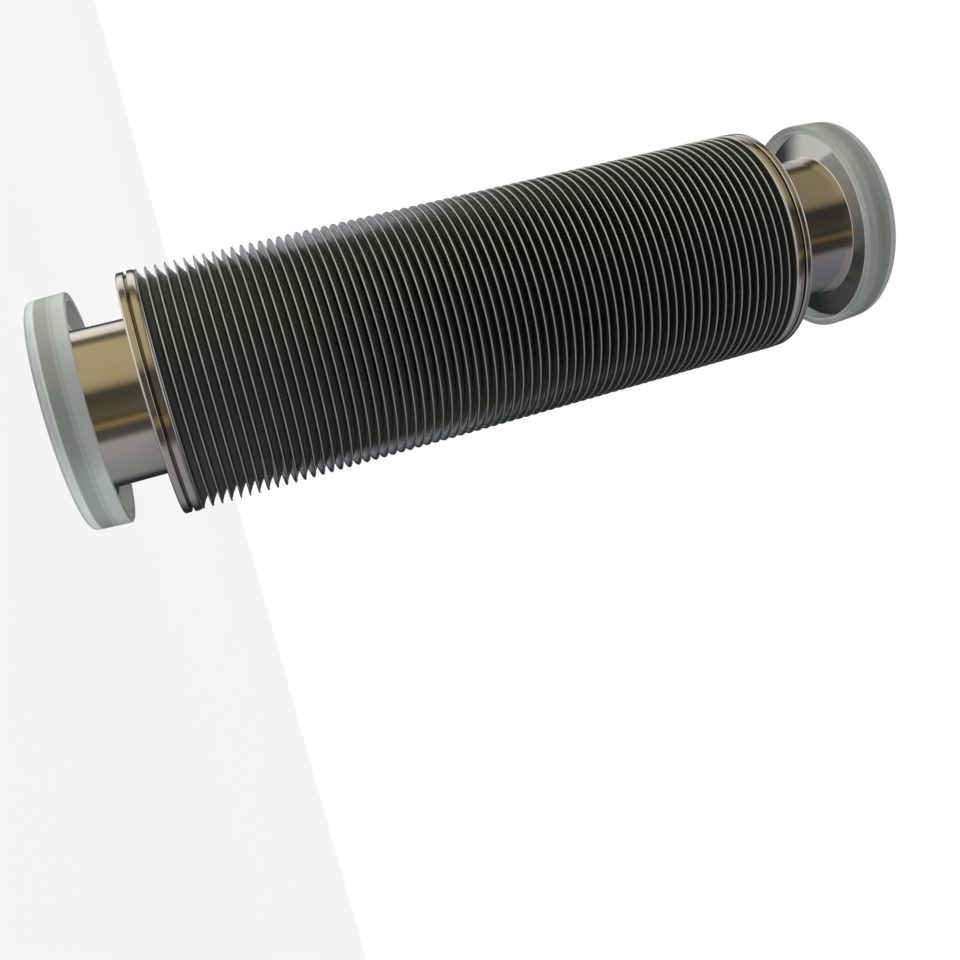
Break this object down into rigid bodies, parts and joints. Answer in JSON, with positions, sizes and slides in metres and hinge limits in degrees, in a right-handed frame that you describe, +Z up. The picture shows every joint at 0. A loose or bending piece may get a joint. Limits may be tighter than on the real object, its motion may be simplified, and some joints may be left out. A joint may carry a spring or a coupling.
{
  "type": "vacuum bellows hose",
  "caption": "Flexible edge-welded metal bellows hose with a small clamp flange on a short neck at each end and a translucent push-on dust cap over each flange.",
  "frame": {"origin": "centre of the lower dust cap's outer face, which the hose stands on", "axes": "+Z up along the hose's axis, from the end with the short neck to the end with the long neck; X and Y are any two square directions, because every piece is round"},
  "size_m": [0.046, 0.046, 0.1636],
  "materials": {
    "turned_steel": "polished stainless steel, turned",
    "diaphragm_steel": "thin rolled stainless sheet, bright at the weld beads and dark between them",
    "cap_plastic": "milky translucent soft polyethylene"
  },
  "bodies": {
    "lower_cap": {"lower_dust_cap": "cap_plastic"},
    "lower_end": {"lower_flange_stub": "turned_steel", "lower_end_ring": "turned_steel", "bellows": "diaphragm_steel"},
    "upper_end": {"upper_end_ring": "turned_steel", "upper_flange_stub": "turned_steel"},
    "upper_cap": {"upper_dust_cap": "cap_plastic"}
  },
  "joints": [
    {"name": "lower_cap_pull", "type": "slide", "parent": "lower_cap", "child": "lower_end", "axis": [0, 0, 1], "range_m": [0, 0.04]},
    {"name": "bellows_stroke", "type": "slide", "parent": "lower_end", "child": "upper_end", "axis": [0, 0, 1], "range_m": [-0.055, 0], "stiffness_N_per_m": 1000, "deforming": ["bellows"]},
    {"name": "upper_cap_pull", "type": "slide", "parent": "upper_end", "child": "upper_cap", "axis": [0, 0, 1], "range_m": [0, 0.04]}
  ]
}
